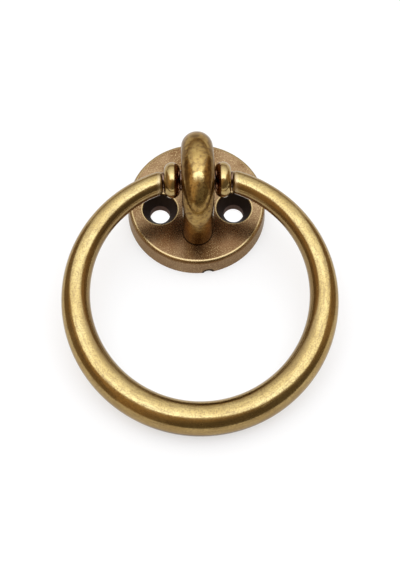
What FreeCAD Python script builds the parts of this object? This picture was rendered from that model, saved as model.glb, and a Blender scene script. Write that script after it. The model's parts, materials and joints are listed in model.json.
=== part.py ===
import FreeCAD, Part
import math
import os

# Ring pull handle for a drawer front or cabinet door, in millimetres.
# The origin is the centre of the plate's back face. +Z points out of the mounting surface,
# -Y points to where the ring hangs, and X runs along the ring's neck.

# Back plate
plate_diameter = 30.0
plate_thickness = 4.5
rim_draft = 0.25
face_edge_radius = 0.8
nick_length = 2.1
nick_depth = 0.4
nick_angle = 8.2

# Countersunk screw holes, in a row along X
screw_spacing = 16.0
screw_drop = 1.5
screw_bore_diameter = 4.3
countersink_diameter = 7.7
countersink_depth = 2.6
countersink_edge_radius = 0.2

# Staple: a loop of round bar, thickest at its crown, riveted through the plate by two tenons
crown_bar_diameter = 7.05
foot_bar_diameter = 6.3
eye_width = 7.6
leg_height = 9.2
tenon_diameter = 4.0
tenon_clearance = 0.05
rivet_head_diameter = 5.2
rivet_head_height = 0.8
rivet_recess = 0.15

# Pull ring: a round bar that thickens from the top of the ring to the bottom
ring_outer_diameter = 58.2
ring_top_bar_diameter = 4.8
ring_bottom_bar_diameter = 7.3
ring_rise = 0.7
bar_end_radius = 1.0

# Turned middle of the ring: the neck in the staple, then a bead and a groove at each side
neck_diameter = 4.4
neck_drop = 0.45
neck_clearance = 0.1
bead_diameter = 7.7
bead_length = 3.5
bead_clearance = 0.15
groove_diameter = 3.5
groove_length = 0.15
groove_root = 0.8

# Number of sections that each lofted stretch passes through
ring_sections = 17
arch_sections = 9

X_AXIS = FreeCAD.Vector(1, 0, 0)
Z_AXIS = FreeCAD.Vector(0, 0, 1)

# The staple's arch is centred above the plate. The neck bears against the inside of the arch,
# drawn a little from its top towards the hanging ring.
plate_radius = plate_diameter / 2
arch_radius = eye_width / 2 + crown_bar_diameter / 2
arch_z = plate_thickness + leg_height
foot_places = [-arch_radius, arch_radius]
neck_reach = eye_width / 2 - neck_clearance - neck_diameter / 2
pivot = FreeCAD.Vector(0, -neck_drop, arch_z + math.sqrt(neck_reach ** 2 - neck_drop ** 2))

# Places along the neck, measured from the middle of the staple
bead_start = crown_bar_diameter / 2 + bead_clearance
bead_end = bead_start + bead_length
bar_start = bead_end + groove_length
neck_end = bar_start + groove_root

# The ring's outline is two circles, each centred this far down the ring from the neck's axis.
outer_radius = ring_outer_diameter / 2
inner_radius = outer_radius - (ring_top_bar_diameter + ring_bottom_bar_diameter) / 2
outer_centre = outer_radius - ring_rise - ring_top_bar_diameter / 2
inner_centre = inner_radius - ring_rise + ring_top_bar_diameter / 2
ring_middle = (outer_centre + inner_centre) / 2

# At rest the bottom of the ring lies on the mounting surface.
bottom_bar_radius = ring_bottom_bar_diameter / 2
bottom_bar_centre = outer_centre + outer_radius - bottom_bar_radius
rest_tilt = math.degrees(math.asin((pivot.z - bottom_bar_radius) / bottom_bar_centre))


def vec(x, y, z):
    return FreeCAD.Vector(x, y, z)


def turned(points, axis):
    """Solid of revolution, about an axis through the origin, of an outline of straight lines."""
    outline = Part.Face(Part.makePolygon(points + points[:1]))
    return outline.revolve(vec(0, 0, 0), axis, 360)


def bar_section(centre, direction, seam, radius):
    """Round section of a bar that runs in the given direction."""
    circle = Part.Circle(centre, direction, radius)
    circle.XAxis = seam
    return Part.Wire([circle.toShape()])


def round_edges(solid, radius, chosen):
    """Fillet the edges of a solid for which the test function chosen is true."""
    return solid.makeFillet(radius, [edge for edge in solid.Edges if chosen(edge)])


def is_circle_at(edge, radius, z):
    """True for a full circle of this radius, level with the plate, at height z."""
    box = edge.BoundBox
    flat = abs(box.ZMin - z) < 1e-4 and abs(box.ZMax - z) < 1e-4
    return flat and abs(box.XLength / 2 - radius) < 1e-4


def screw_hole(x):
    """Cutter for one countersunk screw hole."""
    bore = screw_bore_diameter / 2
    mouth = countersink_diameter / 2
    points = [
        vec(0, 0, 0),
        vec(bore, 0, 0),
        vec(bore, 0, plate_thickness - countersink_depth),
        vec(mouth, 0, plate_thickness),
        vec(0, 0, plate_thickness),
    ]
    cutter = turned(points, Z_AXIS)
    cutter.translate(vec(x, -screw_drop, 0))
    return cutter


def tenon_outline(clearance, bottom):
    """Outline of a riveted tenon from the height bottom to the plate's face, grown by a clearance."""
    shank = tenon_diameter / 2 + clearance
    slope = (rivet_head_diameter - tenon_diameter) / 2 / rivet_head_height
    head_top = rivet_recess + rivet_head_height
    return [
        vec(0, 0, bottom),
        vec(shank + slope * (head_top - bottom), 0, bottom),
        vec(shank, 0, head_top),
        vec(shank, 0, plate_thickness),
    ]


def tenon_hole(y):
    """Cutter for the hole that takes a tenon and its rivet head."""
    cutter = turned(tenon_outline(tenon_clearance, 0) + [vec(0, 0, plate_thickness)], Z_AXIS)
    cutter.translate(vec(0, y, 0))
    return cutter


def rim_nick():
    """Cutter for the small dent in the lower edge of the rim."""
    radius = (nick_length ** 2 / 4 + nick_depth ** 2) / (2 * nick_depth)
    reach = plate_radius - nick_depth + radius
    angle = math.radians(nick_angle)
    return Part.makeSphere(radius, vec(reach * math.sin(angle), -reach * math.cos(angle), 0))


def make_backplate():
    face_radius = plate_radius - rim_draft
    points = [
        vec(0, 0, 0),
        vec(plate_radius, 0, 0),
        vec(face_radius, 0, plate_thickness),
        vec(0, 0, plate_thickness),
    ]
    plate = turned(points, Z_AXIS)
    for side in (-1, 1):
        plate = plate.cut(screw_hole(side * screw_spacing / 2))
    mouth = countersink_diameter / 2
    plate = round_edges(plate, face_edge_radius, lambda e: is_circle_at(e, face_radius, plate_thickness))
    plate = round_edges(plate, countersink_edge_radius, lambda e: is_circle_at(e, mouth, plate_thickness))
    for y in foot_places:
        plate = plate.cut(tenon_hole(y))
    return plate.cut(rim_nick())


def staple_radius(away):
    """Radius of the staple's bar at a distance from its crown, measured along the bar."""
    length = arch_radius * math.pi / 2 + leg_height
    return (crown_bar_diameter + (foot_bar_diameter - crown_bar_diameter) * away / length) / 2


def staple_leg(y):
    """Tapered leg of the staple, with the tenon below it."""
    spring_radius = staple_radius(arch_radius * math.pi / 2)
    leg = [
        vec(foot_bar_diameter / 2, 0, plate_thickness),
        vec(spring_radius, 0, arch_z),
        vec(0, 0, arch_z),
    ]
    solid = turned(tenon_outline(0, rivet_recess) + leg, Z_AXIS)
    solid.translate(vec(0, y, 0))
    return solid


def staple_arch():
    """Arch between the legs, from the front leg over the crown to the rear leg."""
    sections = []
    for i in range(arch_sections):
        turn = math.pi * i / (arch_sections - 1)
        out = vec(0, -math.cos(turn), math.sin(turn))
        along = vec(0, math.sin(turn), math.cos(turn))
        radius = staple_radius(arch_radius * abs(turn - math.pi / 2))
        sections.append(bar_section(vec(0, 0, arch_z) + out * arch_radius, along, -out, radius))
    return Part.makeLoft(sections, True)


def make_staple():
    return staple_arch().fuse([staple_leg(y) for y in foot_places]).removeSplitter()


def circle_reach(centre, radius, turn):
    """Distance from the ring's middle to one of its two circles, turn being measured from the top."""
    offset = ring_middle - centre
    return offset * math.cos(turn) + math.sqrt(radius ** 2 - (offset * math.sin(turn)) ** 2)


def ring_bar():
    """The ring's bar, in the plane of X and Y with the neck's axis on X, cut square beside the grooves."""
    first = math.asin(bar_start / 2 / outer_radius)
    sections = []
    for i in range(ring_sections):
        turn = first + (2 * math.pi - 2 * first) * i / (ring_sections - 1)
        outer = circle_reach(outer_centre, outer_radius, turn)
        inner = circle_reach(inner_centre, inner_radius, turn)
        out = vec(math.sin(turn), math.cos(turn), 0)
        along = vec(math.cos(turn), -math.sin(turn), 0)
        centre = out * ((outer + inner) / 2) - vec(0, ring_middle, 0)
        sections.append(bar_section(centre, along, -out, (outer - inner) / 2))
    bar = Part.makeLoft(sections, True)
    gap = Part.makeBox(2 * bar_start, ring_outer_diameter, ring_outer_diameter)
    gap.translate(vec(-bar_start, -ring_middle, -ring_outer_diameter / 2))
    bar = bar.cut(gap)
    return round_edges(bar, bar_end_radius, lambda e: abs(abs(e.CenterOfMass.x) - bar_start) < 1e-3)


def bead(side):
    """Full-round bead beside the staple."""
    round_radius = bead_length / 2
    shoulder = bead_diameter / 2 - round_radius
    low = vec(bead_start, 0, 0)
    start = vec(bead_start, shoulder, 0)
    top = vec(bead_start + round_radius, bead_diameter / 2, 0)
    end = vec(bead_end, shoulder, 0)
    foot = vec(bead_end, 0, 0)
    edges = [
        Part.LineSegment(low, start).toShape(),
        Part.Arc(start, top, end).toShape(),
        Part.LineSegment(end, foot).toShape(),
        Part.LineSegment(foot, low).toShape(),
    ]
    solid = Part.Face(Part.Wire(edges)).revolve(vec(0, 0, 0), X_AXIS, 360)
    return solid if side > 0 else solid.mirror(vec(0, 0, 0), X_AXIS)


def make_pull_ring():
    bead_middle = (bead_start + bead_end) / 2
    neck = Part.makeCylinder(neck_diameter / 2, 2 * bead_middle, vec(-bead_middle, 0, 0), X_AXIS)
    ring = ring_bar().fuse(neck)
    for side in (-1, 1):
        start = vec(side * bead_middle, 0, 0)
        groove = Part.makeCylinder(groove_diameter / 2, neck_end - bead_middle, start, X_AXIS * side)
        ring = ring.fuse([bead(side), groove])
    ring = ring.removeSplitter()
    ring.rotate(vec(0, 0, 0), X_AXIS, rest_tilt)
    ring.translate(pivot)
    return ring


def main():
    os.makedirs("parts", exist_ok=True)
    nodes = {
        "backplate": make_backplate(),
        "staple": make_staple(),
        "pull_ring": make_pull_ring(),
    }
    for name, shape in nodes.items():
        shape.exportStep("parts/" + name + ".step")
        box = shape.BoundBox
        print(name, shape.isValid(), len(shape.Solids), "solid,", round(shape.Volume, 1), "mm3, box",
              [round(v, 2) for v in (box.XMin, box.YMin, box.ZMin, box.XMax, box.YMax, box.ZMax)])
    print("ring tilt at rest", round(rest_tilt, 2), "degrees, neck axis at", pivot)


main()
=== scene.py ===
import json
import math

import bmesh
import bpy
from mathutils import Matrix, Vector


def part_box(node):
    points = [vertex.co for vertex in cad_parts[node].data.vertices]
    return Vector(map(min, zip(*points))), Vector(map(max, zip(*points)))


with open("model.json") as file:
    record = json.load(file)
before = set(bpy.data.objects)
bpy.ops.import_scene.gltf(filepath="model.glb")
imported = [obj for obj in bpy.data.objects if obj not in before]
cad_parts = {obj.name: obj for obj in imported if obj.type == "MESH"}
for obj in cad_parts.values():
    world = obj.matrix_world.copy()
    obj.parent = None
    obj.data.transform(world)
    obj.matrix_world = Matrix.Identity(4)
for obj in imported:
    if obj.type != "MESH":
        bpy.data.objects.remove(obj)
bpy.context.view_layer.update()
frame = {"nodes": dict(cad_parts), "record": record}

# Camera: lens in pixels of a 400 x 570 image, then its place (metres) and turn about the object
IMAGE_HEIGHT_PX = 570
FOCAL_LENGTH_PX = 2000
SENSOR_MM = 36.0
CAMERA_CLIP_START = 0.01
CAMERA_OFFSET = Vector((0.00076, -0.01598, 0.4392))
CAMERA_TILT_DEG = 26.479
CAMERA_ROLL_DEG = 1.638
CAMERA_YAW_DEG = 1.527

# Floor, in metres, and world. The floor glows more under the plate, where only the screw holes show it:
# there its glow is a painted pool of light that lifts the plate's shadow.
FLOOR_DEPTH = 0.0001
FLOOR_REACH = 12.0
FLOOR_COLOUR = (0.36, 0.34, 0.315, 1)
FLOOR_GLOW = 0.62
HOLE_GLOW = 0.93
HOLE_GLOW_REACH = 0.0115
HOLE_GLOW_EDGE = 0.001
WORLD_COLOUR = (1, 1, 1, 1)
WORLD_STRENGTH = 1.0

# Light tent: a half sphere with a reach in metres, brightest high at the front and fading from there
TENT_REACH = 3.0
TENT_SEGMENTS = 48
TENT_RINGS = 24
TENT_PEAK_ELEVATION_DEG = 66.0
TENT_MIDDLE_DEG = 38.0
TENT_BACK_DEG = 110.0
TENT_PEAK = (3.4, 4.05, 5.2, 1)
TENT_MIDDLE = (2.4, 2.65, 2.95, 1)
TENT_BACK = (0.28, 0.16, 0.05, 1)

# Dark screens of the tent: slopes are sideways or forward steps for each step up
TENT_SHIFT = -0.02
SIDE_SLOPE = 0.75
SIDE_OPENING_BACK = 1.2
FRONT_SLOPE = 0.41
CAMERA_GAP_SLOPE = 0.33
CAMERA_GAP_WIDTH = 0.17
SCREEN_EDGE = 0.03
SIDE_DARK = (0.62, 0.42, 0.23, 1)
FRONT_DARK = (0.185, 0.15, 0.105, 1)
FRONT_DARK_TURN = 0.5
FRONT_DARK_FULL = -0.9
FRONT_DARK_END = -0.3

# Cards that stand beside the object, in metres
CARD_REACH = 0.09
CARD_FRONT_LEFT = -0.12
CARD_FRONT_RIGHT = -0.03
CARD_BACK = 0.06
CARD_HEIGHT = 0.06
CARD_COLOUR = (0.52, 0.39, 0.26, 1)

# Colours of the brass, among them painted shade, painted shadow, painted highlights and painted
# reflections, the roughness of its lacquer, and what the bar ends and holes add to the roughness
GOLD = (0.367, 0.243, 0.073, 1)
GOLD_WORN = (0.42, 0.294, 0.103, 1)
GOLD_BRIGHT = (0.53, 0.385, 0.15, 1)
GOLD_TARNISHED = (0.285, 0.162, 0.045, 1)
# Patina, also used as painted shade on the ring
GOLD_PATINA_AND_SHADE = (0.2, 0.115, 0.03, 1)
BRONZE = (0.25, 0.15, 0.075, 1)
BRONZE_DARK = (0.135, 0.066, 0.026, 1)
# Painted dark reflection on the plate
BRONZE_DARK_REFLECTION = (0.15, 0.06, 0.022, 1)
# Worn bronze, also a painted highlight on the face's edge
BRONZE_WORN_AND_HIGHLIGHT = (0.45, 0.32, 0.15, 1)
BRONZE_RIM = (0.36, 0.255, 0.17, 1)
# Patina, also used as painted shadow and painted shade
PATINA_AND_SHADE = (0.1, 0.05, 0.018, 1)
# Painted reflection on the bar ends
SHOULDER_REFLECTION = (0.56, 0.42, 0.26, 1)
# Painted shade on the beads and in the grooves
BEAD_INNER_SHADE = (0.3, 0.125, 0.045, 1)
GROOVE_SHADE = (0.14, 0.07, 0.035, 1)
# Painted shade inside the holes
BORE_SHADE = (0.12, 0.042, 0.015, 1)
SEAM = (0.045, 0.022, 0.01, 1)
# Painted shade deep in the holes and in the dent
CREVICE_SHADE = (0.02, 0.01, 0.006, 1)
EDGE_TINT = (0.7, 0.64, 0.55, 1)
COAT_ROUGHNESS = 0.15
SHOULDER_ROUGHNESS = 0.15
HOLE_ROUGHNESS = 0.4

# Most of a cloudy noise of 0 to 1 lies between these values
NOISE_LOW = 0.3
NOISE_HIGH = 0.7

# Joint and screw holes from the part's record, in millimetres
MM = 0.001
neck = frame["record"]["behaviour"]["joints"][0]["pos_m"]
NECK_Y = neck[1] / MM
NECK_Z = neck[2] / MM
screw_holes = next(mount for mount in frame["record"]["mounts"] if mount["name"] == "screw_holes")
SCREW_X = screw_holes["dims"]["spacing_x_mm"] / 2
SCREW_Y = screw_holes["pos_m"][1] / MM

# Ring: its tilt and middle, then the borders of its painted shade, painted shadow stripe, painted
# reflection on the bar ends and other marks, in millimetres
RING_TILT_DEG = 12.89
RING_MIDDLE = 25.375
RING_BAR_REACH = 26.075
RING_INNER_SIDE = 25.025
RING_TOP_Y = -13.0
RING_SHADE_INSIDE_Y = -41.0
RING_BOTTOM_RISE = -20.0
RING_LOW_SIDE = 2.5
RING_SHADOW_LINE_HEIGHT = 0.7
RING_SHADOW_LINE_REACH = 11.0
BRUSH_STRETCH = 4.0
BEAD_SHADE = 4.9
GROOVE_INNER = 6.9
GROOVE_OUTER = 7.575
GROOVE_RADIUS = 2.55
NECK_RADIUS = 2.4
SHOULDER_START = 7.4
BAR_START = 8.5

# Staple: the painted highlight streak, the flanks with painted shade and the dark spot of its crown, and
# the darker foot of its legs, in millimetres
CROWN_STREAK_X = -0.2
CROWN_STREAK_WIDTH = 1.5
CROWN_STREAK_FRONT = -8.25
CROWN_STREAK_BACK = -3.25
CROWN_FLANK = 2.35
CROWN_SPOT = (-0.5, 6.1, 22.6)
CROWN_SPOT_RADIUS = 0.8
LEG_DARK_TOP = 8.75
LEG_STREAK_SQUEEZE = (1.0, 1.0, 0.15)

# Plate: heights and radii of its edges, holes, seams, painted reflections and dent, in millimetres
PLATE_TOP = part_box("backplate")[1].z / MM
EDGE_RADIUS = 14.125
EDGE_BOTTOM = PLATE_TOP - 0.275
EDGE_REFLECTION_LINE_RADIUS = 14.2
EDGE_REFLECTION_LINE_TOP = PLATE_TOP - 0.425
EDGE_REFLECTION_LINE_BOTTOM = PLATE_TOP - 0.725
RIM_RADIUS = 14.5
RIM_TOP = PLATE_TOP - 0.8
MOUTH_INNER = 3.75
MOUTH_OUTER = 4.075
MOUTH_BOTTOM = PLATE_TOP - 0.225
HOLE_TOP = PLATE_TOP - 0.175
HOLE_BOTTOM = 0.06
BORE_TOP = 1.9
FOOT_REACH = 7.325
FOOT_SEAM_RADIUS = 3.3
SEAM_TOP = PLATE_TOP + 0.275
SEAM_BOTTOM = PLATE_TOP - 0.2
DARK_REFLECTION_X = 6.0
DARK_REFLECTION_Y = -7.5
DARK_REFLECTION_REACH = 4.5
DENT_ANGLE_DEG = 8.2
DENT_CENTRE_REACH = 16.178
DENT_SHADE_RADIUS = 1.85
SPECK_SHIFT = (50, 0, 0)


def degrees(angle):
    return angle * math.pi / 180


class Graph:
    """Adds shader nodes to one node tree. A value is a number, a colour or the output of another node."""

    def __init__(self, tree):
        self.tree = tree
        tree.nodes.clear()

    def add(self, kind, inputs, **settings):
        node = self.tree.nodes.new("ShaderNode" + kind)
        for name, value in settings.items():
            setattr(node, name, value)
        for socket, value in inputs.items():
            if isinstance(value, bpy.types.NodeSocket):
                self.tree.links.new(value, node.inputs[socket])
            else:
                node.inputs[socket].default_value = value
        return node

    def math(self, operation, a, b=0.0):
        return self.add("Math", {0: a, 1: b}, operation=operation).outputs[0]

    def product(self, first, *others):
        for other in others:
            first = self.math("MULTIPLY", first, other)
        return first

    def weighted(self, a, a_weight, b, b_weight):
        return self.math("ADD", self.math("MULTIPLY", a, a_weight), self.math("MULTIPLY", b, b_weight))

    def inverse(self, value):
        return self.math("SUBTRACT", 1.0, value)

    def length(self, a, b):
        corner = self.add("CombineXYZ", {0: a, 1: b}).outputs[0]
        return self.add("VectorMath", {0: corner}, operation="LENGTH").outputs["Value"]

    def distance(self, place, point):
        return self.add("VectorMath", {0: place, 1: point}, operation="DISTANCE").outputs["Value"]

    def ramp(self, value, low, high, start=0.0, end=1.0):
        """Goes smoothly from start, where the value is low, to end, where it is high."""
        limits = {"From Min": low, "From Max": high, "To Min": start, "To Max": end}
        return self.add("MapRange", {"Value": value, **limits}, interpolation_type="SMOOTHSTEP").outputs[0]

    def above(self, value, level, soft):
        """1 where the value is above a level and 0 below it, with a soft border."""
        return self.ramp(value, level - soft, level + soft)

    def below(self, value, level, soft):
        """1 where the value is below a level and 0 above it, with a soft border."""
        return self.ramp(value, level - soft, level + soft, 1.0, 0.0)

    def mix(self, factor, a, b):
        return self.add("Mix", {0: factor, 6: a, 7: b}, data_type="RGBA").outputs[2]

    def tint(self, colour, tint, mask, amount):
        """Tints a colour by an amount where a mask is 1."""
        return self.mix(self.product(mask, amount), colour, tint)

    def patches(self, colour, tint, noise, start, full, amount=1.0):
        """Tints a colour where a noise is over start, by the amount where it is over full."""
        return self.mix(self.ramp(noise, start, full, 0.0, amount), colour, tint)

    def vary(self, noise, low, high):
        """Value from low to high that follows a noise."""
        return self.ramp(noise, NOISE_LOW, NOISE_HIGH, low, high)

    def ragged(self, value, noise, reach):
        """Moves a value up and down by a noise, so that its borders get ragged."""
        return self.math("ADD", value, self.vary(noise, low=-reach, high=reach))

    def millimetres(self):
        """Place on the object in millimetres, in the object's own frame."""
        place = self.add("TexCoord", {}).outputs["Object"]
        return self.add("VectorMath", {0: place, "Scale": 1 / MM}, operation="SCALE").outputs[0]

    def split(self, vector):
        return self.add("SeparateXYZ", {0: vector}).outputs

    def noise(self, place, size, detail=3.0):
        """Cloudy noise of 0 to 1 whose spots are about size millimetres wide."""
        return self.add("TexNoise", {"Vector": place, "Scale": 1 / size, "Detail": detail}).outputs[0]

    def relief(self, noise, depth):
        """Height in millimetres of a relief with this depth."""
        return self.math("MULTIPLY", noise, depth)

    def bump(self, height):
        """Normal for a relief with its height in millimetres."""
        return self.add("Bump", {"Height": height, "Strength": 1.0, "Distance": MM}).outputs[0]

    def brass(self, colour, roughness, height, coat=0.0, metallic=1.0):
        inputs = {
            "Base Color": colour,
            "Metallic": metallic,
            "Roughness": roughness,
            "Normal": self.bump(height),
            "Specular Tint": EDGE_TINT,
            "Coat Weight": coat,
            "Coat Roughness": COAT_ROUGHNESS,
        }
        self.finish(self.add("BsdfPrincipled", inputs).outputs[0])

    def finish(self, shader):
        self.add("OutputMaterial", {"Surface": shader})


def new_material(name):
    material = bpy.data.materials.new(name)
    material.use_nodes = True
    return material


def hand_finish(graph, place, grain, wave_depth, grain_depth=0.004):
    """Height of a hand-finished casting: broad waves and a fine grain."""
    waves = graph.noise(place, size=3.0, detail=1.0)
    return graph.math("ADD", graph.relief(waves, wave_depth), graph.relief(grain, grain_depth))


def ring_frame(graph, dy, dz):
    """Rise above the ring's middle in its own plane, and height over that plane."""
    tilt = degrees(RING_TILT_DEG)
    rise = graph.weighted(dy, math.cos(tilt), dz, math.sin(tilt))
    height = graph.weighted(dy, -math.sin(tilt), dz, math.cos(tilt))
    return graph.math("ADD", rise, RING_MIDDLE), height


def brush_marks(graph, x, rise, height):
    """Noise that is drawn out along the ring's bar."""
    along = graph.math("MULTIPLY", graph.math("ARCTAN2", x, rise), BRUSH_STRETCH)
    stretched = graph.add("CombineXYZ", {0: graph.length(x, rise), 1: along, 2: height}).outputs[0]
    return graph.noise(stretched, size=0.5)


def ring_painted_shade(graph, colour, x, y, rise, height):
    """Colour with painted shade on the inward-facing side of the ring's bar and on the low side of its
    bottom, and a painted shadow stripe along the underside of its bottom.
    """
    across = graph.math("ABSOLUTE", x)
    reach = graph.length(x, rise)
    # Painted shade: the inward-facing side of the bar is darkened, away from the beads and the ring's
    # bottom.
    inner_shade = graph.below(reach, RING_INNER_SIDE, soft=0.45)
    inner_shade = graph.product(inner_shade, graph.above(across, BAR_START, soft=0.5))
    inner_shade = graph.product(inner_shade, graph.above(y, RING_SHADE_INSIDE_Y, soft=5.0))
    colour = graph.tint(colour, GOLD_PATINA_AND_SHADE, inner_shade, amount=0.6)
    # Painted shade: the low side of the ring's bottom is darkened.
    bottom = graph.below(rise, RING_BOTTOM_RISE, soft=3.0)
    bottom = graph.product(bottom, graph.above(reach, RING_BAR_REACH, soft=1.0))
    low = graph.product(bottom, graph.below(height, RING_LOW_SIDE, soft=1.0))
    colour = graph.tint(colour, GOLD_PATINA_AND_SHADE, low, amount=0.35)
    # Painted shadow: a dark stripe along the underside of the ring's bottom, near the floor.
    painted_dark_line = graph.product(bottom, graph.below(across, RING_SHADOW_LINE_REACH, soft=4.0))
    painted_dark_line = graph.product(painted_dark_line, graph.below(height, RING_SHADOW_LINE_HEIGHT, soft=0.3))
    return graph.tint(colour, PATINA_AND_SHADE, painted_dark_line, amount=0.9)


def ring_turned(graph, colour, across, axis, at_top):
    """Colour of the ring's turned middle: painted shade in the grooves and on the neck, and bright beads
    with painted shade on the side that faces the staple.
    """
    bead = graph.product(graph.below(across, GROOVE_INNER, soft=0.2), at_top)
    colour = graph.tint(colour, GOLD_BRIGHT, bead, amount=0.35)
    # Painted shade: the side of each bead that faces the staple.
    shaded_inside = graph.product(graph.below(across, BEAD_SHADE, soft=0.15), at_top)
    colour = graph.mix(shaded_inside, colour, BEAD_INNER_SHADE)
    # Painted shade: the grooves between the beads and the bar, and the neck.
    groove_shade = graph.above(across, GROOVE_INNER, soft=0.2)
    groove_shade = graph.product(groove_shade, graph.below(across, GROOVE_OUTER, soft=0.225))
    groove_shade = graph.product(groove_shade, graph.below(axis, GROOVE_RADIUS, soft=0.35), at_top)
    neck_shade = graph.product(shaded_inside, graph.below(axis, NECK_RADIUS, soft=0.1))
    return graph.mix(graph.math("MAXIMUM", groove_shade, neck_shade), colour, GROOVE_SHADE)


def ring_brass():
    """Polished brass with a cloudy patina and fine grain, with painted shade on parts of the bar and its
    bottom, a painted shadow stripe under the bottom, a painted reflection on the bar ends and painted shade
    by the beads.
    """
    material = new_material("ring_antique_brass")
    graph = Graph(material.node_tree)
    place = graph.millimetres()
    x, y, z = graph.split(place)
    dy = graph.math("SUBTRACT", y, NECK_Y)
    dz = graph.math("SUBTRACT", z, NECK_Z)
    across = graph.math("ABSOLUTE", x)
    rise, height = ring_frame(graph, dy, dz)
    cloud = graph.noise(place, size=7.0)
    mottle = graph.noise(place, size=1.2)
    grain = graph.noise(place, size=0.3)
    brush = brush_marks(graph, x, rise, height)
    colour = graph.patches(GOLD, GOLD_WORN, cloud, start=0.35, full=0.65)
    colour = graph.patches(colour, GOLD_PATINA_AND_SHADE, mottle, start=0.4, full=0.8, amount=0.3)
    colour = graph.patches(colour, GOLD_PATINA_AND_SHADE, grain, start=0.45, full=0.68, amount=0.6)
    colour = graph.patches(colour, GOLD_PATINA_AND_SHADE, brush, start=0.45, full=0.7, amount=0.45)
    colour = graph.patches(colour, GOLD_BRIGHT, graph.inverse(brush), start=0.55, full=0.7, amount=0.2)
    # Painted shade on the bar and its bottom, and a painted shadow stripe under the bottom.
    colour = ring_painted_shade(graph, colour, x, y, rise, height)
    at_top = graph.above(y, RING_TOP_Y, soft=1.0)
    # Painted reflection: the rounded bar ends next to the beads are painted paler.
    shoulder = graph.product(graph.above(across, SHOULDER_START, soft=0.1), at_top)
    shoulder = graph.product(shoulder, graph.below(across, BAR_START, soft=0.4))
    colour = graph.tint(colour, SHOULDER_REFLECTION, shoulder, amount=0.3)
    # Painted shade at the beads, grooves and neck.
    colour = ring_turned(graph, colour, across, graph.length(dy, dz), at_top)
    roughness = graph.vary(grain, low=0.14, high=0.22)
    roughness = graph.math("ADD", roughness, graph.ramp(brush, low=0.5, high=0.7, start=0.0, end=0.12))
    roughness = graph.math("ADD", roughness, graph.product(shoulder, SHOULDER_ROUGHNESS))
    graph.brass(colour, roughness, hand_finish(graph, place, grain, wave_depth=0.03), coat=0.6)
    return material


def crown_highlight(graph, x, y, mottle):
    """Mask of the painted highlight streak on the crown's front."""
    off = graph.math("ABSOLUTE", graph.math("SUBTRACT", x, CROWN_STREAK_X))
    streak = graph.below(off, CROWN_STREAK_WIDTH, soft=0.7)
    streak = graph.product(streak, graph.above(y, CROWN_STREAK_FRONT, soft=1.25))
    streak = graph.product(streak, graph.below(y, CROWN_STREAK_BACK, soft=0.75))
    return graph.above(graph.ragged(streak, mottle, reach=-0.35), level=0.5, soft=0.2)


def crown_shade_and_spot(graph, colour, place, x, mottle):
    """Colour of the staple with painted shade on the crown's flanks, and the crown's dark spot."""
    # Painted shade: the crown's flanks are darkened.
    shaded_flank = graph.ragged(graph.math("ABSOLUTE", x), mottle, reach=0.5)
    colour = graph.tint(colour, PATINA_AND_SHADE, graph.above(shaded_flank, CROWN_FLANK, soft=0.65), amount=0.7)
    off_spot = graph.ragged(graph.distance(place, CROWN_SPOT), mottle, reach=0.3)
    return graph.tint(colour, PATINA_AND_SHADE, graph.below(off_spot, CROWN_SPOT_RADIUS, soft=0.3), amount=0.75)


def foot_darkening(graph, place, z, mottle):
    """Mask that darkens the legs towards the foot, with lighter streaks down them."""
    drawn_out = graph.add("VectorMath", {0: place, 1: LEG_STREAK_SQUEEZE}, operation="MULTIPLY").outputs[0]
    streaks = graph.ramp(graph.noise(drawn_out, size=0.7), low=0.35, high=0.65)
    darker_foot = graph.below(graph.ragged(z, mottle, reach=1.5), LEG_DARK_TOP, soft=2.25)
    return graph.product(darker_foot, graph.ramp(streaks, low=0.0, high=1.0, start=0.85, end=0.6))


def staple_brass():
    """Brass with a mottled patina, a painted highlight on the crown's front and painted shade on its
    flanks, brown at the foot and dark in the seam below it.
    """
    material = new_material("staple_antique_brass")
    graph = Graph(material.node_tree)
    place = graph.millimetres()
    x, y, z = graph.split(place)
    cloud = graph.noise(place, size=4.0)
    mottle = graph.noise(place, size=1.0)
    pits = graph.noise(place, size=0.8)
    grain = graph.noise(place, size=0.3)
    highlight_streak = crown_highlight(graph, x, y, mottle)
    off_highlight = graph.inverse(highlight_streak)
    colour = graph.patches(GOLD, GOLD_WORN, cloud, start=0.35, full=0.65)
    # Painted highlight: the streak on the crown's front is painted bright.
    colour = graph.mix(highlight_streak, colour, GOLD_BRIGHT)
    tarnish = graph.ramp(mottle, low=0.3, high=0.65, start=0.28, end=0.8)
    colour = graph.mix(graph.product(tarnish, off_highlight), colour, GOLD_TARNISHED)
    # Painted shade on the crown's flanks, and the crown's dark spot.
    colour = crown_shade_and_spot(graph, colour, place, x, mottle)
    mottled = graph.product(graph.ramp(mottle, low=0.52, high=0.72), off_highlight)
    colour = graph.tint(colour, PATINA_AND_SHADE, mottled, amount=0.6)
    colour = graph.patches(colour, PATINA_AND_SHADE, pits, start=0.5, full=0.7, amount=0.55)
    colour = graph.patches(colour, GOLD_TARNISHED, grain, start=0.45, full=0.7, amount=0.45)
    # Darker towards the foot of the legs.
    colour = graph.mix(foot_darkening(graph, place, z, mottle), colour, PATINA_AND_SHADE)
    seam = graph.product(graph.below(z, SEAM_TOP, soft=0.125), graph.above(z, SEAM_BOTTOM, soft=0.1))
    colour = graph.mix(seam, colour, SEAM)
    roughness = graph.vary(mottle, low=0.16, high=0.26)
    graph.brass(colour, roughness, hand_finish(graph, place, grain, wave_depth=0.06), coat=0.15)
    return material


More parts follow.
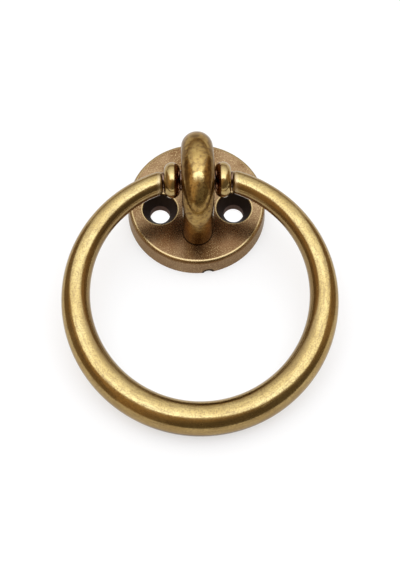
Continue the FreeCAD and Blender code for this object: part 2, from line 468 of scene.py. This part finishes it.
def plate_rim_colour(graph, colour, place, z, radius):
    """Colour of the plate with its paler rim, a painted dark reflection under the face's edge and painted
    shade in the dent.
    """
    rim = graph.product(graph.above(radius, RIM_RADIUS, soft=0.1), graph.below(z, RIM_TOP, soft=0.1))
    colour = graph.tint(colour, BRONZE_RIM, rim, amount=0.3)
    # Painted reflection: a dark stripe under the face's edge.
    painted_dark_line = graph.above(z, EDGE_REFLECTION_LINE_BOTTOM, soft=0.075)
    painted_dark_line = graph.product(painted_dark_line, graph.below(z, EDGE_REFLECTION_LINE_TOP, soft=0.075))
    painted_dark_line = graph.product(painted_dark_line, graph.above(radius, EDGE_REFLECTION_LINE_RADIUS, soft=0.1))
    colour = graph.tint(colour, BRONZE_DARK, painted_dark_line, amount=0.7)
    # Painted shade: the dent on the rim is painted near black.
    turn = degrees(DENT_ANGLE_DEG)
    dent = (DENT_CENTRE_REACH * math.sin(turn), -DENT_CENTRE_REACH * math.cos(turn), 0)
    return graph.mix(graph.below(graph.distance(place, dent), DENT_SHADE_RADIUS, soft=0.1), colour, CREVICE_SHADE)


def plate_worn_and_highlit(graph, radius, away, z):
    """Mask of the edges that are rubbed bright by wear: the face's edge, which also carries a painted
    highlight, and the mouths of the holes.
    """
    edge = graph.above(radius, EDGE_RADIUS, soft=0.075)
    edge = graph.product(edge, graph.above(z, EDGE_BOTTOM, soft=0.075))
    mouth = graph.above(away, MOUTH_INNER, soft=0.05)
    mouth = graph.product(mouth, graph.below(away, MOUTH_OUTER, soft=0.075))
    mouth = graph.product(mouth, graph.above(z, MOUTH_BOTTOM, soft=0.075))
    return graph.math("MAXIMUM", edge, mouth)


def from_pair(graph, x, y, pair_x, pair_y):
    """Distance along the plate from the nearer one of two places, pair_x to the left and right."""
    side = graph.math("SUBTRACT", graph.math("ABSOLUTE", x), pair_x)
    return graph.length(side, graph.math("SUBTRACT", y, pair_y))


def plate_brass():
    """Dull bronze-coloured brass with a sandy grain, a painted dark reflection beside the front leg and
    painted shade in its holes.
    """
    material = new_material("plate_antique_brass")
    graph = Graph(material.node_tree)
    place = graph.millimetres()
    x, y, z = graph.split(place)
    radius = graph.length(x, y)
    away = from_pair(graph, x, y, SCREW_X, SCREW_Y)
    cloud = graph.noise(place, size=5.0)
    grain = graph.noise(place, size=0.35)
    specks = graph.noise(graph.add("VectorMath", {0: place, 1: SPECK_SHIFT}).outputs[0], size=0.25)
    colour = graph.patches(BRONZE, BRONZE_DARK, cloud, start=0.35, full=0.65)
    colour = graph.patches(colour, BRONZE_DARK, grain, start=0.45, full=0.7, amount=0.55)
    colour = graph.patches(colour, BRONZE_WORN_AND_HIGHLIGHT, specks, start=0.52, full=0.66, amount=0.65)
    # Painted reflection: the plate is darkened beside the front leg, below the holes, where it mirrors the
    # ring and the staple.
    off_dark_reflection = graph.ragged(from_pair(graph, x, y, DARK_REFLECTION_X, DARK_REFLECTION_Y), cloud, reach=1.0)
    colour = graph.tint(colour, BRONZE_DARK_REFLECTION, graph.below(off_dark_reflection, DARK_REFLECTION_REACH, soft=2.0), amount=0.5)
    # Paler rim, painted dark reflection under the face's edge, painted shade in the dent.
    colour = plate_rim_colour(graph, colour, place, z, radius)
    # Wear, and along the face's edge a painted highlight.
    colour = graph.tint(colour, BRONZE_WORN_AND_HIGHLIGHT, plate_worn_and_highlit(graph, radius, away, z), amount=0.9)
    # Painted shade: the holes' insides are dark brown, and near black deeper in the bore.
    hole = graph.product(graph.below(away, MOUTH_INNER, soft=0.05), graph.below(z, HOLE_TOP, soft=0.075))
    hole = graph.product(hole, graph.above(z, HOLE_BOTTOM, soft=0.04))
    colour = graph.mix(hole, colour, graph.mix(graph.below(z, BORE_TOP, soft=0.1), CREVICE_SHADE, BORE_SHADE))
    seam = graph.below(from_pair(graph, y, x, FOOT_REACH, 0.0), FOOT_SEAM_RADIUS, soft=0.1)
    colour = graph.mix(graph.product(seam, graph.above(z, SEAM_BOTTOM, soft=0.1)), colour, SEAM)
    roughness = graph.vary(grain, low=0.24, high=0.3)
    roughness = graph.math("ADD", roughness, graph.product(hole, HOLE_ROUGHNESS))
    graph.brass(colour, roughness, graph.relief(grain, depth=0.0015), metallic=graph.inverse(hole))
    return material


def dress_nodes():
    finishes = {"backplate": plate_brass(), "staple": staple_brass(), "pull_ring": ring_brass()}
    for name, material in finishes.items():
        frame["nodes"][name].material_slots[0].material = material


def studio_piece(name, mesh, material):
    """Adds an object of the studio, which isn't part of the handle."""
    mesh.materials.append(material)
    piece = bpy.data.objects.new(name, mesh)
    bpy.context.scene.collection.objects.link(piece)
    return piece


def sheet(name, corners, material):
    mesh = bpy.data.meshes.new(name)
    mesh.from_pydata(corners, [], [range(len(corners))])
    return studio_piece(name, mesh, material)


def floor_material():
    """White floor that keeps its shadows and is clear from below. Its glow is seen, but lights nothing."""
    material = new_material("studio_floor")
    graph = Graph(material.node_tree)
    rays = graph.add("LightPath", {}).outputs
    seen = graph.math("MAXIMUM", rays["Is Camera Ray"], rays["Is Glossy Ray"])
    seen = graph.math("MAXIMUM", seen, rays["Is Transmission Ray"])
    away = graph.distance(graph.add("TexCoord", {}).outputs["Object"], (0, 0, 0))
    level = graph.ramp(away, HOLE_GLOW_REACH, HOLE_GLOW_REACH + HOLE_GLOW_EDGE, HOLE_GLOW, FLOOR_GLOW)
    glow = graph.add("Emission", {"Strength": graph.product(seen, level)}).outputs[0]
    paint = graph.add("BsdfDiffuse", {"Color": FLOOR_COLOUR}).outputs[0]
    top = graph.add("AddShader", {0: paint, 1: glow}).outputs[0]
    below = graph.add("NewGeometry", {}).outputs["Backfacing"]
    clear = graph.add("BsdfTransparent", {}).outputs[0]
    graph.finish(graph.add("MixShader", {0: below, 1: top, 2: clear}).outputs[0])
    return material


def tent_light(graph, toward):
    """Colour of the tent's light in a direction, by the angle from its brightest place."""
    rise = degrees(TENT_PEAK_ELEVATION_DEG)
    peak = (0, -math.cos(rise), math.sin(rise))
    closeness = graph.add("VectorMath", {0: toward, 1: peak}, operation="DOT_PRODUCT").outputs["Value"]
    angle = graph.math("ARCCOSINE", closeness)
    middle = degrees(TENT_MIDDLE_DEG)
    near = graph.mix(graph.math("DIVIDE", angle, middle), TENT_PEAK, TENT_MIDDLE)
    beyond = graph.math("DIVIDE", graph.math("SUBTRACT", angle, middle), degrees(TENT_BACK_DEG) - middle)
    return graph.mix(beyond, near, TENT_BACK)


def tent_material():
    """Light tent with dark screens at its sides and at the front, higher in front of the camera."""
    material = new_material("studio_tent")
    graph = Graph(material.node_tree)
    place = graph.add("TexCoord", {}).outputs["Object"]
    toward = graph.add("VectorMath", {0: place}, operation="NORMALIZE").outputs[0]
    x, y, z = graph.split(toward)
    across = graph.math("ABSOLUTE", graph.math("ADD", x, TENT_SHIFT))
    opening = graph.math("MULTIPLY", graph.math("MAXIMUM", y, 0.0), SIDE_OPENING_BACK)
    side = graph.math("SUBTRACT", across, graph.math("MULTIPLY", z, SIDE_SLOPE))
    side = graph.math("SUBTRACT", side, opening)
    slope = graph.ramp(across, 0.0, CAMERA_GAP_WIDTH, CAMERA_GAP_SLOPE, FRONT_SLOPE)
    front = graph.math("SUBTRACT", graph.math("MULTIPLY", y, -1.0), graph.math("MULTIPLY", z, slope))
    screen = graph.above(graph.math("MAXIMUM", side, front), 0.0, soft=SCREEN_EDGE)
    turned = graph.math("SUBTRACT", y, graph.math("MULTIPLY", x, FRONT_DARK_TURN))
    dark = graph.mix(graph.ramp(turned, FRONT_DARK_FULL, FRONT_DARK_END), FRONT_DARK, SIDE_DARK)
    colour = graph.mix(screen, tent_light(graph, toward), dark)
    graph.finish(graph.add("Emission", {"Color": colour, "Strength": 1.0}).outputs[0])
    return material


def card_material():
    material = new_material("studio_card")
    graph = Graph(material.node_tree)
    graph.finish(graph.add("BsdfDiffuse", {"Color": CARD_COLOUR}).outputs[0])
    return material


def make_floor():
    ends = [(-1, -1), (1, -1), (1, 1), (-1, 1)]
    corners = [(x * FLOOR_REACH, y * FLOOR_REACH, -FLOOR_DEPTH) for x, y in ends]
    sheet("studio_floor", corners, floor_material())


def make_tent():
    """Half sphere over the set that lights it. The camera looks through it."""
    build = bmesh.new()
    bmesh.ops.create_uvsphere(build, u_segments=TENT_SEGMENTS, v_segments=TENT_RINGS, radius=TENT_REACH)
    ring_step = TENT_REACH * math.sin(math.pi / TENT_RINGS)
    low = [vertex for vertex in build.verts if vertex.co.z < -ring_step / 2]
    bmesh.ops.delete(build, geom=low, context="VERTS")
    mesh = bpy.data.meshes.new("studio_tent")
    build.to_mesh(mesh)
    build.free()
    studio_piece("studio_tent", mesh, tent_material()).visible_camera = False


def make_cards():
    """Cards standing at the left and right of the object, seen only in reflections."""
    material = card_material()
    for side, x, front in (("left", -CARD_REACH, CARD_FRONT_LEFT), ("right", CARD_REACH, CARD_FRONT_RIGHT)):
        low = [(x, front, 0), (x, CARD_BACK, 0)]
        high = [(x, CARD_BACK, CARD_HEIGHT), (x, front, CARD_HEIGHT)]
        card = sheet("studio_card_" + side, low + high, material)
        card.visible_camera = False
        card.visible_diffuse = False
        card.visible_shadow = False


def make_world():
    world = bpy.data.worlds.new("studio")
    world.use_nodes = True
    background = world.node_tree.nodes["Background"]
    background.inputs["Color"].default_value = WORLD_COLOUR
    background.inputs["Strength"].default_value = WORLD_STRENGTH
    bpy.context.scene.world = world


def make_camera():
    turn = Matrix.Rotation(degrees(-CAMERA_YAW_DEG), 3, "Y")
    turn = turn @ Matrix.Rotation(degrees(CAMERA_TILT_DEG), 3, "X")
    turn = turn @ Matrix.Rotation(degrees(-CAMERA_ROLL_DEG), 3, "Z")
    lens = bpy.data.cameras.new("camera")
    lens.sensor_width = SENSOR_MM
    lens.lens = FOCAL_LENGTH_PX * SENSOR_MM / IMAGE_HEIGHT_PX
    lens.clip_start = CAMERA_CLIP_START
    camera = bpy.data.objects.new("camera", lens)
    camera.matrix_world = Matrix.Translation(turn @ CAMERA_OFFSET) @ turn.to_4x4()
    bpy.context.scene.collection.objects.link(camera)
    bpy.context.scene.camera = camera


dress_nodes()
make_floor()
make_tent()
make_cards()
make_world()
make_camera()
bpy.context.scene.view_settings.view_transform = "Standard"
